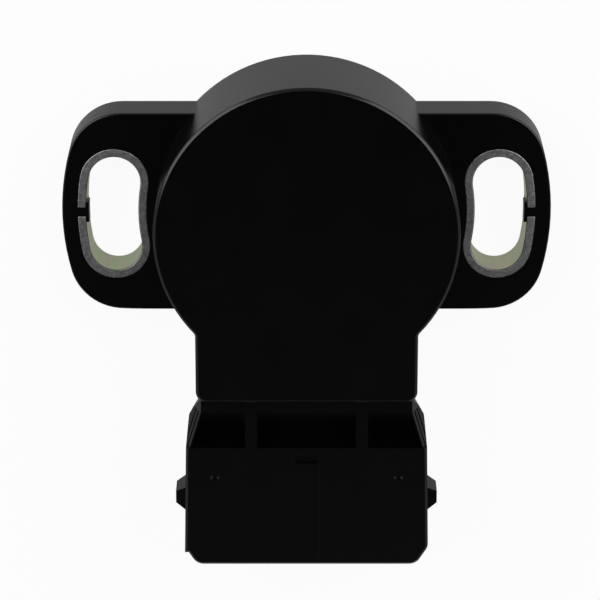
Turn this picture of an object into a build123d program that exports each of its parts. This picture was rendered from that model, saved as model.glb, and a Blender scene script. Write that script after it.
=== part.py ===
from build123d import *
import math
import os

# A throttle position sensor: a moulded can that bolts over the end of a throttle shaft.
# The origin is where the shaft's axis meets the mounting face. Z runs out through the front face,
# X runs from ear to ear, and the connector points along -Y. All sizes are in millimetres.

# Can and neck, one keyhole outline seen from the front
can_radius = 17.57
body_height = 14.8
neck_width = 25.75
neck_reach = 20.3
neck_corner = 1.3
neck_root = 0.6
wall = 2.0
front_wall = 2.0
front_edge = 0.3

# Mounting ears and their curved slots
ear_margin = 1.78
ear_height = 23.92
ear_thickness = 5.4
ear_corner = 6.3
slot_pitch_radius = 22.7
slot_width = 6.1
slot_swing = 19.55
slot_shift = -0.57
bushing_wall = 1.02
bushing_split = 1.0
split_head_height = 2.4
split_head_rise = 0.35
split_head_depth = 2.0

# Connector shroud
connector_width = 28.9
connector_depth = 12.4
connector_back = 0.8
connector_length = 21.15
connector_edge = 0.3
mouth_flare = 0.42
corner_run = 2.2
corner_inset = 1.45
corner_step = 0.7
corner_round = 1.5
mouth_land = 0.75
shroud_wall = 1.5
socket_corner = 1.8
socket_floor_wall = 1.5
root_inset = 0.54
root_lap = 1.5
shoulder_setback = 0.29
shoulder_run = 2.6
shoulder_lean = 24.0
key_rise = 0.8
key_width = 1.6
key_offset = 2.2
key_setback = 2.0

# Core-out pockets between the neck and the shroud
band_width = 1.75
pocket_length = 4.5
pocket_depth = 4.6
pocket_rib = 1.4
pocket_rib_spacing = 13.0
pocket_land = 0.15
facet_drop = 1.8
facet_inset_near = 0.95
facet_inset_far = 0.43
groove_first = 0.45
groove_pitch = 0.7
groove_width = 0.25
groove_depth = 0.15
groove_count = 2

# Marks and lugs on the shroud
recess_width = 2.6
recess_height = 1.0
recess_depth = 0.5
recess_offset = 1.5
notch_width = 1.05
notch_floor = 0.4
notch_depth = 0.3
notch_length = 0.45
notch_spacing = 21.6
notch_offset = 3.5
lug_rise = 1.28
lug_length = 3.05
lug_slope = 0.49
lug_flat = 1.47
lug_height = 3.2
lug_root_height = 4.4
lug_from_mouth = 5.0

# Terminal blades
pin_count = 4
pin_pitch = 5.5
pin_width = 2.3
pin_thickness = 0.64
pin_setback = 4.9
pin_bevel = 0.2
riser_gap = 0.8
pad_length = 3.4
pad_width = 2.6

# Track plate and its printed tracks
plate_radius = 12.2
plate_thickness = 0.9
plate_side_gap = 0.5
plate_boss_gap = 0.1
track_thickness = 0.1
track_start = 30.0
track_sweep = 120.0
resistor_radius = 9.9
signal_radius = 7.1
idle_radius = 5.4
resistor_width = 1.4
signal_width = 1.4
idle_width = 0.9
idle_sweep = 25.0
lead_width = 0.9
lead_turn = 6.0

# Rear cover, its collar and its seals
cover_rim = 0.8
cover_recess = 0.5
cover_thickness = 1.6
sealant_width = 0.8
sealant_dish = 0.1
collar_radius = 9.6
collar_top = 4.0
seal_radius = 8.0
seal_depth = 1.9

# Rotor
shaft_radius = 4.0
socket_depth = 6.2
socket_chamfer = 0.4
drive_key_width = 2.2
drive_key_depth = 1.2
journal_radius = 6.0
running_gap = 0.05
rotor_recess = 0.9
hub_radius = 7.4
shoulder_gap = 0.3
arm_reach = 11.8
arm_thickness = 2.2
arm_margin = 0.6
pivot_radius = 2.5
pivot_depth = 0.6
pivot_end_gap = 0.3
boss_radius = 4.0
washer_thickness = 0.5
stop_reach = 13.9
stop_width = 3.0
stop_gap = 0.3
stop_rib_width = 2.4
stop_rib_skirt = 1.6
rest_angle = 40.0
travel = 100.0

# Wiper, stamped from spring strip and fixed to the rotor's arm
wiper_thickness = 0.2
wiper_gap = 0.05
finger_width = 0.8
finger_reach = 3.4
finger_tip = 0.7
base_offset = 2.2
base_length = 2.8

# Return spring, a flat strip wound into a spiral
spring_strip = 0.3
spring_height = 2.4
spring_clearance = 0.4
spring_pitch = 0.8
spring_half_turns = 2
spring_end_gap = 0.2
spring_bend = 0.6
spring_hook = 0.9
spring_leg = 2.2
spring_tang = 1.5
anchor_width = 2.4
anchor_gap = 0.05

# Places worked out from the sizes above
connector_front = connector_back + connector_depth
connector_mid = connector_back + connector_depth / 2
connector_mouth = neck_reach + connector_length
facet_foot = connector_front - facet_drop
shroud_side = corner_inset + mouth_land
corner_start = connector_mouth - corner_run
pocket_near = neck_reach + band_width
pocket_far = pocket_near + pocket_length
socket_floor = pocket_far + socket_floor_wall
plate_top = body_height - front_wall
plate_low = plate_top - plate_thickness
track_low = plate_low - track_thickness
cover_inside = cover_recess + cover_thickness
arm_low = collar_top + spring_height + 2 * spring_end_gap
arm_top = arm_low + arm_thickness
boss_end = arm_top + washer_thickness + running_gap
pivot_top = plate_top + pivot_depth - pivot_end_gap
riser = neck_reach - wall - riser_gap - pin_thickness / 2
pad_tip = riser - pad_length
pad_middle = riser - pad_length / 2
bushing_width = slot_width + 2 * bushing_wall
ear_tip_radius = slot_pitch_radius + bushing_width / 2 + ear_margin
stop_middle = (stop_reach + arm_reach) / 2
stop_spread = math.degrees(((stop_width + stop_rib_width) / 2 + stop_gap) / stop_middle)
pin_xs = [(n - (pin_count - 1) / 2) * pin_pitch for n in range(pin_count)]


def disc(radius, low, high):
    """A plain cylinder on the rotor axis between two heights."""
    return Pos(0, 0, low) * Cylinder(radius, high - low, align=(Align.CENTER, Align.CENTER, Align.MIN))


def slab(sketch, low, high):
    """A flat outline made solid between two heights."""
    return extrude(Pos(0, 0, low) * sketch, high - low)


def both_sides(part):
    """A part and its mirror image across the plane between the ears."""
    return part + mirror(part, about=Plane.YZ)


def keyhole(inset):
    """Outline of the can and neck together, moved in by inset, with square corners at the neck's end."""
    radius = can_radius - inset
    half = neck_width / 2 - inset
    reach = neck_reach - inset
    outline = Circle(radius) + Pos(0, -reach / 2) * Rectangle(2 * half, reach)
    return fillet(outline.vertices().sort_by(Axis.Y)[2:4], neck_root + inset)


def ear_plate():
    """Both ears as one plate, with an outer edge concentric with the shaft."""
    outline = Circle(ear_tip_radius) & Rectangle(4 * ear_tip_radius, ear_height)
    corners = outline.vertices().filter_by(lambda v: abs(v.Y) > ear_height / 4)
    return extrude(fillet(corners, ear_corner), ear_thickness)


def kidney(width):
    """The right-hand slot's curved outline at a given width."""
    return SlotArc(CenterArc((0, 0), slot_pitch_radius, slot_shift - slot_swing / 2, slot_swing), width)


def slot_bushing():
    """The right-hand steel liner, rolled from strip with its seam on the outer side."""
    seam_x = slot_pitch_radius + (slot_width + bushing_wall) / 2
    liner = extrude(kidney(bushing_width) - kidney(slot_width), ear_thickness)
    seam = Box(2 * bushing_wall, bushing_split, 2 * ear_thickness)
    return liner - Pos(seam_x, 0, ear_thickness / 2) * seam


def split_head():
    """Plastic that has pressed through the right-hand liner's seam and spread over its inner wall."""
    outer = slot_pitch_radius + slot_width / 2
    head = (Circle(outer) - Circle(outer - split_head_rise)) & kidney(slot_width)
    head = head & Rectangle(4 * outer, split_head_height)
    return slab(head, ear_thickness - split_head_depth, ear_thickness)


def side_half(reach):
    """Half width of the shroud at a distance from the rotor axis."""
    return connector_width / 2 - mouth_flare * (connector_mouth - reach) / connector_length


def shoulder_half(reach):
    """Half width of the shoulders at a distance from the rotor axis, past the neck's end."""
    root = neck_width / 2 - root_inset
    bend = neck_reach + shoulder_run
    at_bend = side_half(bend) - shoulder_setback
    if reach < bend:
        return root + (at_bend - root) * (reach - neck_reach) / shoulder_run
    share = (reach - bend) / (pocket_far - bend)
    return at_bend + (side_half(pocket_far) - at_bend) * share


def facet_line(reach, inset):
    """Point on the connector's front face where a shoulder facet starts."""
    return Vector(shoulder_half(reach) - inset, -reach, connector_front)


def facet_plane(near, far):
    """Sloping plane from one point of the right-hand shoulder to the next."""
    run = far - near
    low = Vector(shoulder_half(pocket_near), -pocket_near, facet_foot)
    return Plane(near, x_dir=run, z_dir=run.cross(low - near))


def facet_cut(near, far):
    """Wedge above a sloping facet."""
    run = (far - near).length
    size = connector_depth
    return facet_plane(near, far) * Box(run, size, size, align=(Align.MIN, Align.CENTER, Align.MIN))


def facet_grooves(near, far):
    """Shallow grooves along a sloping facet, parallel to its upper edge."""
    run = (far - near).length
    groove = Box(run, groove_width, 2 * groove_depth, align=(Align.MIN, Align.MIN, Align.CENTER))
    rows = [Pos(0, groove_first + n * groove_pitch, 0) * groove for n in range(groove_count)]
    return facet_plane(near, far) * Compound(rows)


def both_edges(right):
    """Closed outline through points of the right-hand side and their mirror images."""
    left = [(-x, y) for x, y in reversed(right)]
    return make_face(Polyline(*right, *left, close=True))


def shoulders():
    """Form that widens from the neck to the shroud, upright in front and leaning away behind."""
    lean = math.radians(shoulder_lean)
    depth = facet_foot - connector_back
    root = neck_reach - root_lap - depth * math.tan(lean)
    reaches = [neck_reach, neck_reach + shoulder_run, connector_mouth]
    right = [(shoulder_half(reach), -reach) for reach in reaches]
    outline = both_edges([(shoulder_half(neck_reach), -root), *right])
    leaning = Vector(0, -math.sin(lean), -math.cos(lean))
    behind = extrude(Pos(0, 0, facet_foot) * outline, depth / math.cos(lean), dir=leaning)
    return slab(outline, facet_foot, connector_front) + behind


def corner_half(reach):
    """Half width of the shroud along the bevelled corners of its mouth."""
    share = (reach - corner_start) / corner_run
    return side_half(reach) - corner_inset * share


def corner_stub():
    """Part of the left-hand corner that stands past the bevel, so that the mouth is not symmetrical."""
    end = corner_start + corner_step
    points = [(-side_half(reach), -reach) for reach in (corner_start, end)]
    return make_face(Polyline(*points, (-corner_half(end), -end), close=True))


def connector_block():
    """The connector's outer form with its shoulders, before it is hollowed."""
    root = neck_reach - root_lap
    right = [(side_half(root), -root), (side_half(corner_start), -corner_start)]
    outline = both_edges([*right, (corner_half(connector_mouth), -connector_mouth)])
    points = outline.vertices().sort_by(Axis.Y)
    outline = fillet(points[:2] + points[2:4].sort_by(Axis.X)[1:], corner_round) + corner_stub()
    block = slab(outline, connector_back, connector_front)
    front = block.faces().sort_by(Axis.Z)[-1]
    rim = front.edges().filter_by(lambda edge: edge.center().Y < root_lap / 2 - neck_reach)
    block = chamfer(rim, connector_edge)
    root_point = facet_line(neck_reach, 0)
    near = facet_line(pocket_near, facet_inset_near)
    far = facet_line(pocket_far, facet_inset_far)
    facets = both_sides(facet_cut(root_point, near) + facet_cut(near, far))
    return (block & shoulders()) - facets - both_sides(facet_grooves(near, far))


def pockets():
    """Three core-outs that open to the front, the outer two with a slanting side."""
    inner = (pocket_rib_spacing - pocket_rib) / 2
    outer = (pocket_rib_spacing + pocket_rib) / 2
    near = facet_line(pocket_near, facet_inset_near + pocket_land)
    far = facet_line(pocket_far, facet_inset_far + pocket_land)
    slant = [(outer, near.Y), (near.X, near.Y), (far.X, far.Y), (outer, far.Y)]
    side = make_face(Polyline(*slant, close=True))
    middle = Pos(0, -(pocket_near + pocket_far) / 2) * Rectangle(2 * inner, pocket_length)
    low = connector_front - pocket_depth
    return both_sides(slab(side, low, connector_front)) + slab(middle, low, connector_front)


def socket():
    """The hollow that takes the plug, with one keying rib left standing on a side wall."""
    width = connector_width - 2 * shroud_side
    height = connector_depth - 2 * shroud_wall
    section = Pos(0, connector_mid) * RectangleRounded(width, height, socket_corner)
    hollow = extrude(Plane.XZ.offset(socket_floor) * section, connector_mouth - socket_floor)
    key_length = connector_mouth - key_setback - socket_floor
    key = Box(2 * key_rise, 2 * key_length, key_width)
    return hollow - Pos(-width / 2, -socket_floor, connector_mid + key_offset) * key


def bail_lug():
    """The right-hand lug that the plug's wire bail snaps over, thinner at its crest."""
    top = connector_mouth - lug_from_mouth - lug_length
    side = side_half(top)
    sunk = side - shroud_side / 2
    crest = side + lug_rise
    front = connector_mid + lug_height / 2
    foot = -top - lug_length
    ramp = [(sunk, -top), (side, -top), (crest, -top - lug_slope), (crest, -top - lug_slope - lug_flat)]
    plan = make_face(Polyline(*ramp, (side, foot), (sunk, foot), close=True))
    back = front - lug_root_height
    edge = [(sunk, back), (sunk, front), (crest, front), (crest, front - lug_height), (side, back)]
    section = make_face(Polyline(*edge, close=True))
    return slab(plan, back, front) & extrude(Plane.XZ * section, connector_mouth)


def front_marks():
    """A small rectangular recess and two notches with sloping ends, sunk in the shroud's front wall."""
    recess = Box(recess_width, recess_height, 2 * recess_depth)
    recess = Pos(0, -pocket_far - recess_offset, connector_front) * recess
    floor = connector_front - notch_depth
    section = both_edges([(notch_width / 2, connector_front), (notch_floor / 2, floor)])
    notch = extrude(Plane.XZ.offset(pocket_far + notch_offset) * section, notch_length)
    return recess + both_sides(Pos(notch_spacing / 2, 0, 0) * notch)


def stop_rib(angle):
    """Rib inside the can that the rotor's lug meets at one end of its travel."""
    inner = plate_radius + stop_gap
    outer = can_radius - wall / 2
    low = arm_low - stop_rib_skirt
    rib = Box(outer - inner, stop_rib_width, plate_top - low)
    return Rot(0, 0, angle) * Pos((inner + outer) / 2, 0, (low + plate_top) / 2) * rib


def housing(blades, bushings):
    """The one-piece moulding, cast around the blades and the slot liners."""
    outline = keyhole(0)
    outline = fillet(outline.vertices().sort_by(Axis.Y)[:2], neck_corner)
    body = slab(outline, 0, body_height)
    body = chamfer(body.faces().sort_by(Axis.Z)[-1].edges(), front_edge) + ear_plate()
    body = body + connector_block() + both_sides(bail_lug())
    body = body - extrude(keyhole(wall), plate_top) - extrude(keyhole(cover_rim), cover_inside)
    body = body - pockets() - front_marks() - socket()
    body = body - both_sides(extrude(kidney(slot_width), ear_thickness)) - bushings
    body = body + both_sides(split_head()) + disc(boss_radius, boss_end, plate_top)
    body = body + stop_rib(rest_angle - stop_spread) + stop_rib(rest_angle + travel + stop_spread)
    body = body - disc(pivot_radius + running_gap, boss_end, plate_top + pivot_depth)
    return body - blades


def bent_strip(route, thickness, width):
    """Strip of even thickness that follows a route of heights along Y, centred on X."""
    return extrude(Plane.YZ * trace(Polyline(*route), thickness), width / 2, both=True)


def terminal(x):
    """One blade: a pin in the socket, bent up inside the neck to lie under the track plate."""
    pad_z = track_low - pin_thickness / 2
    tip = connector_mouth - pin_setback
    route = [(-tip, connector_mid), (-riser, connector_mid), (-riser, pad_z), (-pad_tip, pad_z)]
    blade = Pos(x, 0, 0) * bent_strip(route, pin_thickness, pin_width)
    return chamfer(blade.faces().sort_by(Axis.Y)[0].edges(), pin_bevel)


def track_plate():
    """Insulating plate against the inside of the front wall, with a tail into the neck."""
    tail_half = neck_width / 2 - wall - plate_side_gap
    tail_end = neck_reach - wall - plate_side_gap
    outline = Circle(plate_radius) + Pos(0, -tail_end / 2) * Rectangle(2 * tail_half, tail_end)
    outline = outline - Circle(boss_radius + plate_boss_gap)
    return slab(outline, plate_low, plate_top)


def printed(sketch):
    """A printed layer on the plate's underside."""
    return slab(sketch, track_low, plate_low)


def arc_point(radius, angle):
    """A point of an arc about the rotor axis."""
    return (radius * math.cos(math.radians(angle)), radius * math.sin(math.radians(angle)))


def pad(x):
    """The printed pad that one blade is soldered to."""
    return Pos(x, -pad_middle) * Rectangle(pad_width, pad_length)


def lead(start, x):
    """A printed lead that runs straight down past the boss and then across to its pad."""
    turn = (start[0], -lead_turn)
    return trace(Polyline(start, turn, (x, -pad_middle + pad_length / 2)), lead_width) + pad(x)


def arc_band(radius, start, sweep_angle, width):
    """A printed arc about the rotor axis."""
    return trace(CenterArc((0, 0), radius, start, sweep_angle), width)


def end_lead(angle, x):
    """Lead from one end of the resistor's arc, starting beside the arc's end."""
    inner = arc_point(resistor_radius - resistor_width / 2, angle)
    outer = arc_point(resistor_radius + resistor_width / 2, angle)
    start = ((inner[0] + outer[0]) / 2, min(inner[1], outer[1]))
    band = arc_band(resistor_radius, track_start, track_sweep, resistor_width)
    return lead(start, x) - band


def rotor():
    """Moulded rotor with drive socket, journal, spring hub, wiper arm, stop lug and pivot."""
    body = disc(journal_radius, rotor_recess, collar_top + shoulder_gap)
    body = body + disc(hub_radius, collar_top + shoulder_gap, arm_top)
    body = body + disc(pivot_radius, arm_top, pivot_top)
    arm_low_side = -stop_width / 2
    arm_width = base_offset + base_length + arm_margin - arm_low_side
    sector = Pos(0, arm_low_side) * Rectangle(arm_reach, arm_width, align=Align.MIN) & Circle(arm_reach)
    lug = Pos(stop_reach / 2, 0) * Rectangle(stop_reach, stop_width)
    body = body + Rot(0, 0, rest_angle) * slab(sector + lug, arm_low, arm_top)
    body = body - spring_clear()
    socket_top = rotor_recess + socket_depth
    body = body - disc(shaft_radius, rotor_recess, socket_top)
    key_span = 2 * (shaft_radius + drive_key_depth)
    body = body - Pos(0, 0, rotor_recess + socket_depth / 2) * Box(key_span, drive_key_width, socket_depth)
    lead_in = Cone(shaft_radius + socket_chamfer, shaft_radius, socket_chamfer)
    return body - Pos(0, 0, rotor_recess + socket_chamfer / 2) * lead_in


def wiper():
    """Spring strip with one finger for each track, made at the X axis and turned to its place."""
    low = arm_top + wiper_thickness / 2
    high = track_low - wiper_gap - wiper_thickness / 2
    inner = idle_radius - finger_width / 2
    outer = resistor_radius + finger_width / 2
    base = Pos((inner + outer) / 2, base_offset + base_length / 2, low)
    strip = base * Box(outer - inner, base_length, wiper_thickness)
    tip = base_offset - finger_reach - finger_tip
    bend = (base_offset - finger_reach, high)
    finger = [(base_offset + base_length / 2, low), (base_offset, low), bend, (tip, high - finger_tip)]
    for radius in (idle_radius, signal_radius, resistor_radius):
        strip = strip + Pos(radius, 0, 0) * bent_strip(finger, wiper_thickness, finger_width)
    return Rot(0, 0, rest_angle) * strip


def spring_route():
    """Centre line of the spiral, from its hook in the hub to the tang at its outer end."""
    inner = hub_radius + spring_clearance + spring_strip / 2
    hook_x = inner - spring_bend
    route = [Line((hook_x - spring_hook, -spring_bend), (hook_x, -spring_bend))]
    route.append(CenterArc((hook_x, 0), spring_bend, -90, 90))
    for turn in range(spring_half_turns):
        centre = (turn % 2) * spring_pitch / 2
        route.append(CenterArc((centre, 0), inner + turn * spring_pitch / 2, 180 * (turn % 2), 180))
    end = route[-1] @ 1
    along = route[-1] % 1
    outward = Vector(along.Y, -along.X)
    foot = end + along * spring_leg
    tang = foot + (along + outward) * spring_bend
    middle = foot + outward * spring_bend
    route.append(Line(end, foot))
    route.append(CenterArc((middle.X, middle.Y), spring_bend, 180 * (spring_half_turns % 2 + 1), -90))
    route.append(Line(tang, tang + outward * spring_tang))
    return route


def spiral(width, low, high):
    """The spiral as solid strip, wound so that opening the throttle tightens it."""
    return mirror(slab(trace(spring_route(), width), low, high), about=Plane.XZ)


def return_spring():
    """Spiral spring round the rotor's hub, hooked in the hub and anchored on the cover."""
    low = collar_top + spring_end_gap
    return spiral(spring_strip, low, low + spring_height)


def spring_clear():
    """Room for the spring's ends where they sit in the hub and in the cover's anchor."""
    return spiral(spring_strip + 2 * anchor_gap, collar_top, arm_low)


def spring_anchor():
    """Block on the cover with a slot for the spring's tang."""
    middle = spring_route()[-1] @ 0.5
    outline = Pos(middle.X, -middle.Y) * Rectangle(spring_tang, anchor_width)
    return slab(outline, cover_recess, collar_top + spring_end_gap + spring_height)


def rear_cover():
    """Keyhole plate let into the back of the body, with the collar that carries the rotor."""
    plate = slab(keyhole(cover_rim + sealant_width), cover_recess, cover_inside)
    plate = plate + disc(collar_radius, cover_recess, collar_top)
    plate = plate + spring_anchor() - spring_clear()
    plate = plate - disc(seal_radius, cover_recess, cover_recess + seal_depth)
    return plate - disc(journal_radius + running_gap, cover_recess, collar_top)


def cover_sealant():
    """Bead of sealant round the cover, a little dished below the cover's face."""
    ring = keyhole(cover_rim) - keyhole(cover_rim + sealant_width)
    return slab(ring, cover_recess + sealant_dish, cover_inside)


def shaft_seal():
    """Rubber ring of square section in the cover's seat, round the rotor's journal."""
    low = cover_recess + sealant_dish
    high = cover_recess + seal_depth
    return disc(seal_radius, low, high) - disc(journal_radius + running_gap, low, high)


def thrust_washer():
    """Plain washer that keeps the rotor's hub off the front boss."""
    ring = disc(boss_radius, arm_top, arm_top + washer_thickness)
    return ring - disc(pivot_radius + running_gap, arm_top, arm_top + washer_thickness)


blades = [terminal(x) for x in pin_xs]
supply_x, signal_x, idle_x, ground_x = pin_xs
bushing_right = slot_bushing()
bushing_left = mirror(bushing_right, about=Plane.YZ)
track_end = track_start + track_sweep
resistor = arc_band(resistor_radius, track_start, track_sweep, resistor_width)
signal = arc_band(signal_radius, track_start, track_sweep, signal_width)
idle = arc_band(idle_radius, track_start, idle_sweep, idle_width)

nodes = {
    "housing": housing(blades, [bushing_left, bushing_right]),
    "slot_bushing_left": bushing_left,
    "slot_bushing_right": bushing_right,
    "rear_cover": rear_cover(),
    "cover_sealant": cover_sealant(),
    "shaft_seal": shaft_seal(),
    "rotor": rotor(),
    "thrust_washer": thrust_washer(),
    "wiper": wiper(),
    "return_spring": return_spring(),
    "track_plate": track_plate(),
    "resistor_track": printed(resistor),
    "signal_track": printed(signal + lead(arc_point(signal_radius, track_end), signal_x)),
    "idle_track": printed(idle + lead(arc_point(idle_radius, track_start), idle_x)),
    "supply_lead": printed(end_lead(track_end, supply_x)),
    "ground_lead": printed(end_lead(track_start, ground_x)),
    "terminal_supply": blades[0],
    "terminal_signal": blades[1],
    "terminal_idle": blades[2],
    "terminal_ground": blades[3],
}

os.makedirs("parts", exist_ok=True)
for name, shape in nodes.items():
    export_step(shape, f"parts/{name}.step")
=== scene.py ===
import math

import bpy
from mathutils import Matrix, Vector


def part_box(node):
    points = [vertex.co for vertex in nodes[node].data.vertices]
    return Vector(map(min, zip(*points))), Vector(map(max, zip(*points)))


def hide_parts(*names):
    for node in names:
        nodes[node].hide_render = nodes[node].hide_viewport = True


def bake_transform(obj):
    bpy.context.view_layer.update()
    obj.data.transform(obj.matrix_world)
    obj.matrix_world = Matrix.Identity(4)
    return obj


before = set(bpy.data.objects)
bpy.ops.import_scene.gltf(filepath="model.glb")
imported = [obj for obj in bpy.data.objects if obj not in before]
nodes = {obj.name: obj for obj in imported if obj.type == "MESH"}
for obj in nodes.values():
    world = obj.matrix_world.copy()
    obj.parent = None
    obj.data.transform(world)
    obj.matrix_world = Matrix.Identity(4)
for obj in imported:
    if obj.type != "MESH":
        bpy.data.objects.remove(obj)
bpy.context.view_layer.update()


# Housing: the one-piece black moulding with the can, both slotted ears, the neck and the plug's shroud.
# Glass-filled nylon from a polished steel tool: near black, with a little gloss and a fine grain where
# the resin met the tool. The ears' front edge and the front rim are rounded, and other edges are crisp.

class Value:
    """One output in a node tree. Arithmetic on it adds Math nodes."""

    def __init__(self, recipe, socket):
        self.recipe = recipe
        self.socket = socket

    def operate(self, operation, first, second=0.0):
        """Adds a Math node, on values or numbers."""
        return self.recipe.node("ShaderNodeMath", {"operation": operation}, {0: first, 1: second})

    def __abs__(self):
        return self.operate("ABSOLUTE", self)

    def __add__(self, other):
        return self.operate("ADD", self, other)

    def __radd__(self, other):
        return self.operate("ADD", other, self)

    def __sub__(self, other):
        return self.operate("SUBTRACT", self, other)

    def __rsub__(self, other):
        return self.operate("SUBTRACT", other, self)

    def __mul__(self, other):
        return self.operate("MULTIPLY", self, other)

    def __rmul__(self, other):
        return self.operate("MULTIPLY", other, self)


class Recipe:
    """A node tree, built node by node."""

    def __init__(self, tree):
        self.tree = tree

    def plug(self, socket, value):
        """Puts a number, a colour or a linked value on a socket."""
        if isinstance(value, Value):
            self.tree.links.new(value.socket, socket)
        elif socket.type == "RGBA":
            socket.default_value = (*value, 1.0)
        else:
            socket.default_value = value

    def node(self, kind, settings=None, inputs=None, output=0):
        """Adds a node: first its settings, then its sockets' values or links. Gives one output, if any."""
        made = self.tree.nodes.new(kind)
        for key, value in (settings or {}).items():
            if key == "stops":
                ramp = made.color_ramp.elements
                while len(ramp) < len(value):
                    ramp.new(1.0)
                for stop, (place, colour) in zip(ramp, value):
                    stop.position = place
                    stop.color = (*colour, 1.0)
            else:
                setattr(made, key, value)
        for key, value in (inputs or {}).items():
            self.plug(made.inputs[key], value)
        return Value(self, made.outputs[output]) if made.outputs else None

    def place(self, stretch=(1.0, 1.0, 1.0)):
        """The point of the part, in metres, as it was modelled, with each axis scaled."""
        point = self.node("ShaderNodeTexCoord", output="Object")
        return self.node("ShaderNodeVectorMath", {"operation": "MULTIPLY"}, {0: point, 1: stretch})

    def axis(self, vector, letter):
        """One coordinate of a vector."""
        return self.node("ShaderNodeSeparateXYZ", {}, {0: vector}, output=letter)

    def noise(self, size, detail=2.0, where=None):
        """Cloudy noise from 0 to 1 with blotches of about the given size in metres."""
        inputs = {"Vector": where or self.place(), "Scale": 1.0 / size, "Detail": detail}
        return self.node("ShaderNodeTexNoise", {}, inputs)

    def between(self, value, low, high):
        """Maps low..high of a value to 0..1, held at both ends."""
        inputs = {"Value": value, "From Min": low, "From Max": high}
        return self.node("ShaderNodeMapRange", {"clamp": True}, inputs)

    def either(self, first, second):
        """1 where one mask or the other is 1."""
        return self.between(first + second, low=0.0, high=1.0)

    def mix(self, share, first, second):
        """A colour between two colours."""
        inputs = {"Factor": share, 6: first, 7: second}
        return self.node("ShaderNodeMix", {"data_type": "RGBA"}, inputs, output=2)


class Finish(Recipe):
    """A material with one Principled shader."""

    def __init__(self, name, **constants):
        self.material = bpy.data.materials.new(name)
        self.material.use_nodes = True
        super().__init__(self.material.node_tree)
        self.shader = self.tree.nodes["Principled BSDF"]
        for socket_name, value in constants.items():
            self.set(socket_name.replace("_", " ").title().replace("Ior", "IOR"), value)

    def set(self, socket_name, value):
        """Puts a number, a colour or a linked value on one of the shader's sockets."""
        self.plug(self.shader.inputs[socket_name], value)

    def bump(self, height, depth):
        """Raises the surface by height, from 0 to 1, times depth in metres."""
        self.set("Normal", self.node("ShaderNodeBump", {}, {"Height": height, "Distance": depth}))


def dress(node_name, finish):
    """Gives a CAD node its finish."""
    slots = nodes[node_name].data.materials
    slots.clear()
    slots.append(finish.material)


same_point = 0.000001
same_plane = math.radians(0.5)
sharp_bend = math.radians(25.0)
crisp_radius = 0.000003
large_face_weight = 90


def soften(node_name, radius, marks=None):
    """Rounds a node's edges with a small bevel, on faces merged back from the facets.

    With marks, each edge has the share of the radius that they give it, in facets that each turn by
    less than a sharp bend. The other edges are then crisp, just wide enough to keep faces flat in shading.
    """
    piece = nodes[node_name]
    weld = piece.modifiers.new("weld", "WELD")
    weld.merge_threshold = same_point
    flat = piece.modifiers.new("flat_faces", "DECIMATE")
    flat.decimate_type = "DISSOLVE"
    flat.angle_limit = same_plane
    if marks:
        piece.modifiers.new("edge_marks", "NODES").node_group = marks.tree
        rounded = piece.modifiers.new("round_edges", "BEVEL")
        rounded.width = radius
        rounded.segments = 4
        rounded.limit_method = "WEIGHT"
    bevel = piece.modifiers.new("soft_edges", "BEVEL")
    bevel.width = crisp_radius if marks else radius
    bevel.segments = 3
    bevel.limit_method = "ANGLE"
    bevel.angle_limit = sharp_bend
    even = piece.modifiers.new("even_normals", "WEIGHTED_NORMAL")
    even.weight = large_face_weight
    for polygon in piece.data.polygons:
        polygon.use_smooth = True


ear_front = 0.0054
ear_half_length = 0.0125
slot_half_length = 0.0085
slot_outer_side = 0.0268
neck_reach = 0.0195
rim_foot = 0.01445
rim_share = 0.35
hair = 0.00002
outline = Recipe(bpy.data.node_groups.new("outline_edges", "GeometryNodeTree"))
for direction in ("INPUT", "OUTPUT"):
    outline.tree.interface.new_socket("Geometry", in_out=direction, socket_type="NodeSocketGeometry")


def beyond(coordinate, limit):
    """1 where an edge's coordinate is past a limit, and 0 before it."""
    return outline.between(coordinate, low=limit, high=limit + hair)


# The rounding follows the ears' front outline and the rim. It leaves out the slots, and the ears' lower
# edges where they run into the neck.
edge_middle = outline.node("GeometryNodeInputPosition")
from_centre = abs(outline.axis(edge_middle, "X"))
up_the_face = outline.axis(edge_middle, "Y")
above_back = outline.axis(edge_middle, "Z")
bend = outline.node("GeometryNodeInputMeshEdgeAngle", output="Signed Angle")
outward = outline.between(bend, low=sharp_bend, high=sharp_bend + math.radians(1.0))
on_ear_front = 1.0 - beyond(abs(above_back - ear_front), hair)
on_ear = 1.0 - beyond(abs(up_the_face), ear_half_length)
off_slot = outline.either(beyond(abs(up_the_face), slot_half_length), beyond(from_centre, slot_outer_side))
off_neck = outline.either(beyond(from_centre, neck_reach), beyond(up_the_face, 0.0))
ear_edge = on_ear_front * on_ear * off_neck * off_slot
rim_edge = beyond(above_back, rim_foot)
marked_mesh = outline.node(
    "GeometryNodeStoreNamedAttribute",
    {"data_type": "FLOAT", "domain": "EDGE"},
    {
        "Geometry": outline.node("NodeGroupInput"),
        "Name": "bevel_weight_edge",
        "Value": outward * (ear_edge + rim_share * rim_edge),
    },
)
outline.node("NodeGroupOutput", {}, {0: marked_mesh})

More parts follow.
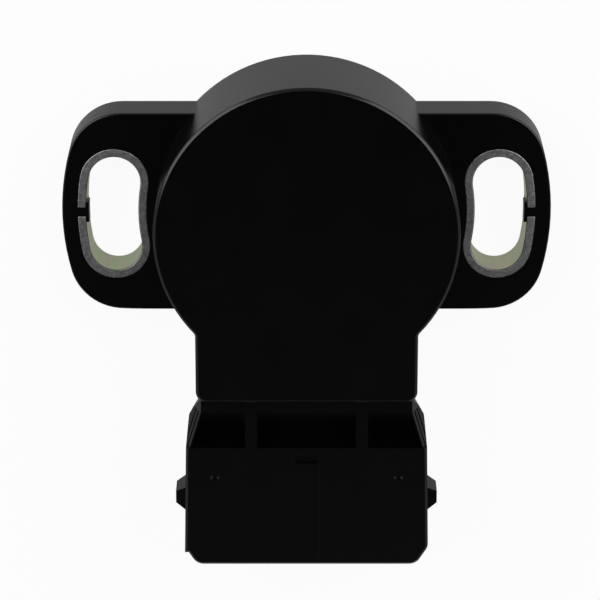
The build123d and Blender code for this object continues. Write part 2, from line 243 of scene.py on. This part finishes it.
deep_black = (0.0008, 0.0008, 0.0009)
soft_black = (0.0013, 0.0013, 0.0014)
split_line_x = 0.0015
split_line_half = 0.00006
split_line_top = -0.0283
split_line_fade = 0.0008
moulding = Finish("black_moulding", ior=1.48)
grain = moulding.noise(size=0.00022, detail=3.0)
cloud = moulding.noise(size=0.007, detail=4.0)
flow = moulding.noise(size=0.0016, detail=3.0, where=moulding.place(stretch=(1.0, 0.15, 1.0)))
aside = abs(moulding.axis(moulding.place(), "X") - split_line_x)
along = moulding.axis(moulding.place(), "Y")
below = moulding.between(along, low=split_line_top, high=split_line_top - split_line_fade)
beside = moulding.between(aside, low=0.5 * split_line_half, high=1.5 * split_line_half)
split_line = below * (1.0 - beside)
moulding.set("Base Color", moulding.mix(cloud, deep_black, soft_black))
moulding.set("Roughness", 0.155 + 0.05 * cloud + 0.03 * flow + 0.03 * grain + 0.08 * split_line)
moulding.bump(grain + 1.2 * split_line, depth=0.000004)
dress("housing", moulding)
soften("housing", radius=0.00022, marks=outline)


# Slot liners: a strip of steel rolled to the slot's kidney shape, split on its outer side and moulded in.
# Zinc plated and yellow passivated, so the inner walls shift between straw, green and pink.
# The sheared ends show bare steel, grey with bright nicks.

straw = (0.90, 0.88, 0.62)
pale_green = (0.74, 0.90, 0.58)
pale_pink = (0.92, 0.76, 0.70)
# Painted shade: a dark grey for the rounded band between each liner's end and its wall.
lip_painted_shade = (0.10, 0.10, 0.09)
steel_dark = (0.33, 0.33, 0.345)
steel_pale = (0.44, 0.44, 0.455)
steel_bright = (0.66, 0.66, 0.67)
plating = Finish("yellow_passivated_steel", metallic=1.0)
drawn = plating.place(stretch=(1.0, 1.0, 0.12))
streak = plating.noise(size=0.0010, detail=2.0, where=drawn)
tint = plating.noise(size=0.0012, detail=1.0, where=drawn)
fine = plating.noise(size=0.0005, detail=4.0)
nick = plating.between(plating.noise(size=0.0002), low=0.57, high=0.66)
normal = plating.node("ShaderNodeNewGeometry", output="True Normal")
facing = abs(plating.axis(normal, "Z"))
cut_end = plating.between(facing, low=0.90, high=0.97)
# Painted shade: faces whose normal sits between the end's and the wall's, the rounded edge, are darkened
# in the wall's colour as a painted dark reflection.
painted_shade_lip = plating.between(facing, low=0.10, high=0.30)
wall = plating.mix(plating.between(streak, low=0.34, high=0.60), straw, pale_green)
wall = plating.mix(plating.between(tint, low=0.52, high=0.65), wall, pale_pink)
wall = plating.mix(painted_shade_lip, wall, lip_painted_shade)
sheared = plating.mix(plating.between(fine, low=0.35, high=0.65), steel_dark, steel_pale)
sheared = plating.mix(nick, sheared, steel_bright)
plating.set("Base Color", plating.mix(cut_end, wall, sheared))
plating.set("Roughness", 0.26 + 0.16 * fine + 0.10 * cut_end)
plating.bump(fine, depth=0.000005)
for side in ("left", "right"):
    dress(f"slot_bushing_{side}", plating)
    soften(f"slot_bushing_{side}", radius=0.00015)


# Blades: four bent strips of tinned brass, moulded into the housing, whose ends are the socket's pins.
# Rolling leaves fine lines along the strip.

tin_warm = (0.70, 0.66, 0.56)
tin_pale = (0.80, 0.78, 0.72)
tin = Finish("tinned_brass", metallic=1.0)
rolled = tin.noise(size=0.00012, detail=3.0, where=tin.place(stretch=(1.0, 0.06, 1.0)))
tin.set("Base Color", tin.mix(rolled, tin_warm, tin_pale))
tin.set("Roughness", 0.22 + 0.16 * rolled)
tin.bump(rolled, depth=0.000002)
for circuit in ("supply", "signal", "idle", "ground"):
    dress(f"terminal_{circuit}", tin)


# Track plate: the insulating board inside the can's front wall, which carries the printed tracks.
# It is punched from brown paper laminate, with the fibres showing in its surface, and bonded in.

laminate_dark = (0.16, 0.075, 0.025)
laminate_pale = (0.30, 0.16, 0.06)
laminate = Finish("paper_laminate")
fibre = laminate.noise(size=0.0006, detail=5.0)
laminate.set("Base Color", laminate.mix(fibre, laminate_dark, laminate_pale))
laminate.set("Roughness", 0.42 + 0.2 * fibre)
dress("track_plate", laminate)


# Tracks: the resistor arc in carbon ink, and the signal and idle tracks and the leads in silver ink.
# They are screen printed on the plate and baked, which leaves the screen's mesh faintly in the ink.

carbon_dark = (0.010, 0.010, 0.011)
carbon_pale = (0.022, 0.022, 0.023)
carbon = Finish("carbon_ink")
mesh_print = carbon.noise(size=0.00009, detail=2.0)
carbon.set("Base Color", carbon.mix(mesh_print, carbon_dark, carbon_pale))
carbon.set("Roughness", 0.45 + 0.2 * mesh_print)
dress("resistor_track", carbon)
silver_dark = (0.58, 0.57, 0.54)
silver_pale = (0.78, 0.77, 0.74)
silver = Finish("silver_ink", metallic=1.0)
flake = silver.noise(size=0.00006, detail=2.0)
silver.set("Base Color", silver.mix(flake, silver_dark, silver_pale))
silver.set("Roughness", 0.40 + 0.25 * flake)
for track in ("signal_track", "idle_track", "supply_lead", "ground_lead"):
    dress(track, silver)


# Rotor: turned by the throttle shaft, whose end sits in its drive socket, and carried in the cover.
# It is moulded in dark grey acetal, in one piece with its hub, wiper arm, stop lug and front pivot.

acetal_dark = (0.050, 0.050, 0.052)
acetal_pale = (0.072, 0.072, 0.074)
acetal = Finish("grey_acetal", ior=1.48)
swirl = acetal.noise(size=0.0015, detail=4.0)
acetal.set("Base Color", acetal.mix(swirl, acetal_dark, acetal_pale))
acetal.set("Roughness", 0.34 + 0.15 * swirl)
acetal.bump(acetal.noise(size=0.00015), depth=0.000003)
dress("rotor", acetal)
soften("rotor", radius=0.00012)


# Thrust washer and wiper: the washer is ground flat from steel strip and runs on the front boss.
# The wiper is a stamping of copper alloy with a finger for each track, fixed to the rotor's arm.

strip_dark = (0.42, 0.42, 0.43)
strip_pale = (0.58, 0.58, 0.60)
strip = Finish("rolled_strip", metallic=1.0)
lines = strip.noise(size=0.00015, detail=3.0)
strip.set("Base Color", strip.mix(lines, strip_dark, strip_pale))
strip.set("Roughness", 0.25 + 0.2 * lines)
strip.bump(lines, depth=0.000002)
dress("thrust_washer", strip)
copper_dark = (0.62, 0.46, 0.26)
copper_pale = (0.76, 0.62, 0.40)
contact = Finish("contact_alloy", metallic=1.0)
sheen = contact.noise(size=0.0002, detail=3.0)
contact.set("Base Color", contact.mix(sheen, copper_dark, copper_pale))
contact.set("Roughness", 0.22 + 0.18 * sheen)
contact.bump(sheen, depth=0.000002)
dress("wiper", contact)


# Return spring: rolled steel strip wound one turn round the rotor's hub, hooked into the hub at its inner
# end and held on the cover by a tang at its outer end. The strip is made straight and then wound, each of
# its points moved to its place along the route.

spring_half_thickness = 0.00015
spring_radius = 0.00795
spring_growth = 0.0004
spring_bend = 0.0006
spring_hook = 0.0009
spring_leg = 0.0022
spring_tang = 0.0015
spring_step = 0.00015
spring_low, spring_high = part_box("return_spring")
spring_half_height = (spring_high[2] - spring_low[2]) / 2
spring_middle = (spring_high[2] + spring_low[2]) / 2
quarter = math.pi / 2
spring_route = [
    (spring_hook, 0.0),
    (spring_bend * quarter, -quarter),
    (spring_radius * math.pi, -math.pi),
    ((spring_radius + spring_growth) * math.pi, -math.pi),
    (spring_leg, 0.0),
    (spring_bend * quarter, quarter),
    (spring_tang, 0.0),
]


def spring_stations():
    """Distance along the strip, place and heading at each station of the route, hub end first."""
    place = Vector((spring_radius - spring_bend - spring_hook, spring_bend))
    heading = 0.0
    travelled = 0.0
    stations = [(travelled, place.copy(), heading)]
    for length, turn in spring_route:
        count = max(1, round(length / spring_step))
        step = length / count
        chord = step if turn == 0.0 else 2 * length / turn * math.sin(turn / count / 2)
        for _ in range(count):
            heading += turn / count / 2
            place = place + chord * Vector((math.cos(heading), math.sin(heading)))
            heading += turn / count / 2
            travelled += step
            stations.append((travelled, place.copy(), heading))
    return stations


def strip_section():
    """Outline of the strip across its length: half thickness by half height, with rolled edges."""
    out = spring_half_thickness
    top = spring_half_height
    shoulder_out = 0.7 * out
    shoulder_up = top - 0.3 * out
    upper = [(out, top - out), (shoulder_out, shoulder_up), (0.0, top)]
    upper += [(-shoulder_out, shoulder_up), (-out, top - out)]
    return upper + [(-across, -up) for across, up in upper]


stations = spring_stations()
section = strip_section()
ring = len(section)
straight = [(travelled, across, up) for travelled, _, _ in stations for across, up in section]
quads = []
for station in range(len(stations) - 1):
    for corner in range(ring):
        near = station * ring
        following = (corner + 1) % ring
        quads.append((near + corner, near + following, near + ring + following, near + ring + corner))
caps = [tuple(reversed(range(ring))), tuple(range(len(straight) - ring, len(straight)))]
spring_mesh = bpy.data.meshes.new("wound_spring")
spring_mesh.from_pydata(straight, [], quads + caps)
spring = bpy.data.objects.new("wound_spring", spring_mesh)
bpy.context.scene.collection.objects.link(spring)
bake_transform(spring)
for number, vertex in enumerate(spring_mesh.vertices):
    _, place, heading = stations[number // ring]
    across, up = section[number % ring]
    sideways = across * Vector((-math.sin(heading), math.cos(heading)))
    vertex.co = (place.x + sideways.x, place.y + sideways.y, spring_middle + up)
for polygon in spring_mesh.polygons:
    polygon.use_smooth = True
spring_mesh.materials.append(strip.material)
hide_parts("return_spring")


# Rear cover: the plate let into the back, with the rotor's collar and the anchor of the spring.
# It is moulded in matte black plastic, textured by the tool, and the sealant bonds its edge.

cover_dark = (0.0045, 0.0045, 0.0048)
cover_pale = (0.0075, 0.0075, 0.0080)
plate = Finish("cover_moulding", ior=1.48)
texture = plate.noise(size=0.0003, detail=3.0)
haze = plate.noise(size=0.006, detail=4.0)
plate.set("Base Color", plate.mix(haze, cover_dark, cover_pale))
plate.set("Roughness", 0.42 + 0.14 * haze + 0.06 * texture)
plate.bump(texture, depth=0.000008)
dress("rear_cover", plate)
soften("rear_cover", radius=0.00015)


# Sealant and seal: the sealant is a bead of black resin, run in round the cover's edge and cured.
# The seal is a square ring of moulded rubber in the cover's seat, round the rotor's journal.

sealant_dark = (0.006, 0.006, 0.007)
sealant_pale = (0.010, 0.010, 0.011)
bead = Finish("cured_sealant", ior=1.45)
ripple = bead.noise(size=0.0009, detail=2.0)
bead.set("Base Color", bead.mix(ripple, sealant_dark, sealant_pale))
bead.set("Roughness", 0.22 + 0.14 * ripple)
bead.bump(ripple, depth=0.00003)
dress("cover_sealant", bead)
rubber_dark = (0.010, 0.010, 0.010)
rubber_bloom = (0.022, 0.021, 0.020)
rubber = Finish("seal_rubber", ior=1.5)
bloom = rubber.noise(size=0.0005, detail=4.0)
rubber.set("Base Color", rubber.mix(bloom, rubber_dark, rubber_bloom))
rubber.set("Roughness", 0.55 + 0.2 * bloom)
dress("shaft_seal", rubber)


# Studio: a white sweep under the part, a soft box on each side and the camera of the photograph.
# The sweep glows white to the camera and grey in mirrored rays, and still takes the part's shadow.
# The sky is grey at the horizon and dark overhead, so the front faces stay black.

floor_half = 1.5
floor_drop = 0.00002
white = (1.0, 1.0, 1.0)
sweep_colour = (0.8, 0.8, 0.8)
mirrored_grey = (0.29, 0.29, 0.29)
seen_glow = 0.94
mirrored_glow = 0.88
corners = [(-floor_half, -floor_half), (floor_half, -floor_half)]
corners += [(floor_half, floor_half), (-floor_half, floor_half)]
floor_mesh = bpy.data.meshes.new("floor")
floor_mesh.from_pydata([(x, y, -floor_drop) for x, y in corners], [], [(0, 1, 2, 3)])
floor = bpy.data.objects.new("floor", floor_mesh)
bpy.context.scene.collection.objects.link(floor)
sweep = Finish("white_sweep", base_color=sweep_colour, roughness=0.9)
direct = sweep.node("ShaderNodeLightPath", output="Is Camera Ray")
glossy = sweep.node("ShaderNodeLightPath", output="Is Glossy Ray")
through = sweep.node("ShaderNodeLightPath", output="Is Transmission Ray")
shade = sweep.mix(direct, mirrored_grey, white)
glow = sweep.node("ShaderNodeEmission", {}, {"Color": shade, "Strength": 1.0})
share = seen_glow * direct + mirrored_glow * (1.0 - direct) * sweep.either(glossy, through)
lit = Value(sweep, sweep.shader.outputs[0])
mixed = sweep.node("ShaderNodeMixShader", {}, {0: share, 1: lit, 2: glow})
sweep.plug(sweep.tree.nodes["Material Output"].inputs["Surface"], mixed)
floor_mesh.materials.append(sweep.material)

horizon_grey = (0.40, 0.40, 0.40)
upper_grey = (0.09, 0.09, 0.09)
black = (0.0, 0.0, 0.0)
world = bpy.data.worlds.new("studio")
world.use_nodes = True
sky = Recipe(world.node_tree)
height = sky.axis(sky.node("ShaderNodeTexCoord", output="Generated"), "Z")
stops = [(0.0, horizon_grey), (0.90, upper_grey), (0.965, black)]
sky_colour = sky.node("ShaderNodeValToRGB", {"stops": stops}, {0: height})
sky.plug(sky.tree.nodes["Background"].inputs["Color"], sky_colour)
bpy.context.scene.world = world

box_aside = 0.75
box_behind = 0.45
box_above = 0.55
box_size = 1.1
box_watts = 9.0
for name, side in (("left_box", -1), ("right_box", 1)):
    lamp = bpy.data.lights.new(name, "AREA")
    lamp.size = box_size
    lamp.energy = box_watts
    holder = bpy.data.objects.new(name, lamp)
    holder.location = (side * box_aside, box_behind, box_above)
    holder.rotation_mode = "QUATERNION"
    holder.rotation_quaternion = (-holder.location).to_track_quat("-Z", "Y")
    bpy.context.scene.collection.objects.link(holder)

image_width = 600
focal_pixels = 3184.6
camera_distance = 0.36555
camera_tilt = math.radians(19.298)
aim = Vector((-0.000765, -0.007572, 0.0148))
camera_data = bpy.data.cameras.new("photo_camera")
camera_data.sensor_width = 36.0
camera_data.lens = camera_data.sensor_width * focal_pixels / image_width
camera_data.clip_start = 0.01
camera = bpy.data.objects.new("photo_camera", camera_data)
camera.location = aim + camera_distance * Vector((0.0, math.sin(camera_tilt), math.cos(camera_tilt)))
camera.rotation_euler = (-camera_tilt, 0.0, 0.0)
bpy.context.scene.collection.objects.link(camera)
bpy.context.scene.camera = camera
bpy.context.scene.view_settings.view_transform = "Standard"
